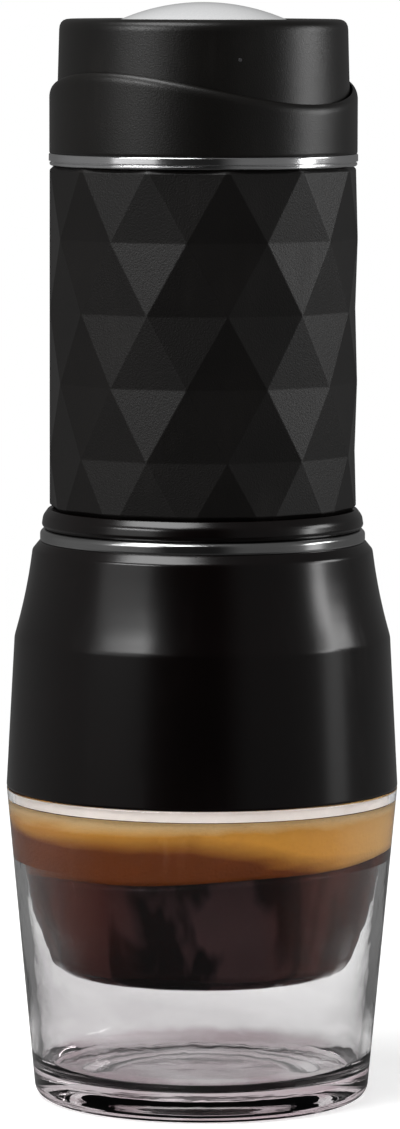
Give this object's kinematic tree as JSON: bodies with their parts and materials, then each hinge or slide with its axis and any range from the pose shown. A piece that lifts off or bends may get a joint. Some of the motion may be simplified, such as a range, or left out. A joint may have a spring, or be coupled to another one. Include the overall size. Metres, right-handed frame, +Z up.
{
  "type": "handheld espresso maker",
  "caption": "Handheld manual espresso maker with a clear double-walled cup, waisted brew skirt, faceted grip sleeve, wavy collar and spring-back pump head.",
  "frame": {"origin": "centre of the cup's underside, on the surface that the object stands on", "axes": "+Z up along the axis of the object; -Y is the side that the picture shows"},
  "size_m": [0.072, 0.072, 0.2012],
  "materials": {
    "clear": "clear moulded plastic",
    "gloss_black": "gloss black",
    "satin_black": "satin black",
    "grip_black": "matt soft-touch black",
    "inner_black": "moulded dark grey",
    "chrome_trim": "polished chrome",
    "steel": "stainless steel",
    "crown_silver": "pearl silver",
    "seal_black": "black silicone",
    "seal_red": "red silicone",
    "pale_plastic": "natural acetal"
  },
  "bodies": {
    "cup": {"cup_shell": "clear", "cup_liner": "clear", "cup_seal": "seal_black"},
    "brew": {"skirt_shell": "gloss_black", "filter_holder": "inner_black", "spout": "inner_black", "filter_basket": "steel", "basket_screen": "steel", "basket_gasket": "seal_red", "trim_ring_lower": "chrome_trim"},
    "tank": {"water_tank": "inner_black", "tank_foot_ring": "gloss_black", "grip_sleeve": "grip_black", "trim_ring_upper": "chrome_trim", "dispersion_screen": "steel"},
    "lid": {"lid_collar": "satin_black", "tank_lid": "inner_black", "tank_gasket": "seal_red", "pump_cylinder": "inner_black", "cylinder_screws": "steel", "guide_bush": "pale_plastic", "rod_seal": "seal_black", "valve_body": "pale_plastic", "foot_seal": "seal_black", "poppet_spring": "steel"},
    "inlet_ball": {"inlet_ball": "steel"},
    "outlet_poppet": {"outlet_poppet": "steel"},
    "twist": {"spring_washer": "pale_plastic", "return_spring": "steel"},
    "head": {"pump_head": "satin_black", "crown_disc": "crown_silver", "piston_rod": "steel", "piston": "pale_plastic", "piston_seals": "seal_black", "head_screw": "steel"}
  },
  "joints": [
    {"name": "cup_pull", "type": "slide", "parent": "cup", "child": "brew", "axis": [0, 0, 1], "range_m": [0, 0.016]},
    {"name": "tank_lift", "type": "slide", "parent": "brew", "child": "tank", "axis": [0, 0, 1], "range_m": [0, 0.014]},
    {"name": "lid_lift", "type": "slide", "parent": "tank", "child": "lid", "axis": [0, 0, 1], "range_m": [0, 0.072]},
    {"name": "head_twist", "type": "hinge", "parent": "lid", "child": "twist", "pos_m": [0, 0, 0.174], "axis": [0, 0, 1], "range_deg": [0, 60]},
    {"name": "pump_stroke", "type": "slide", "parent": "twist", "child": "head", "axis": [0, 0, 1], "range_m": [0, 0.022], "deforming": ["return_spring"]},
    {"name": "inlet_lift", "type": "slide", "parent": "lid", "child": "inlet_ball", "axis": [0, 0, 1], "range_m": [0, 0.001]},
    {"name": "outlet_open", "type": "slide", "parent": "lid", "child": "outlet_poppet", "axis": [0, 0, -1], "range_m": [0, 0.0012], "stiffness_N_per_m": 50, "springref_m": -0.002, "deforming": ["poppet_spring"]}
  ]
}
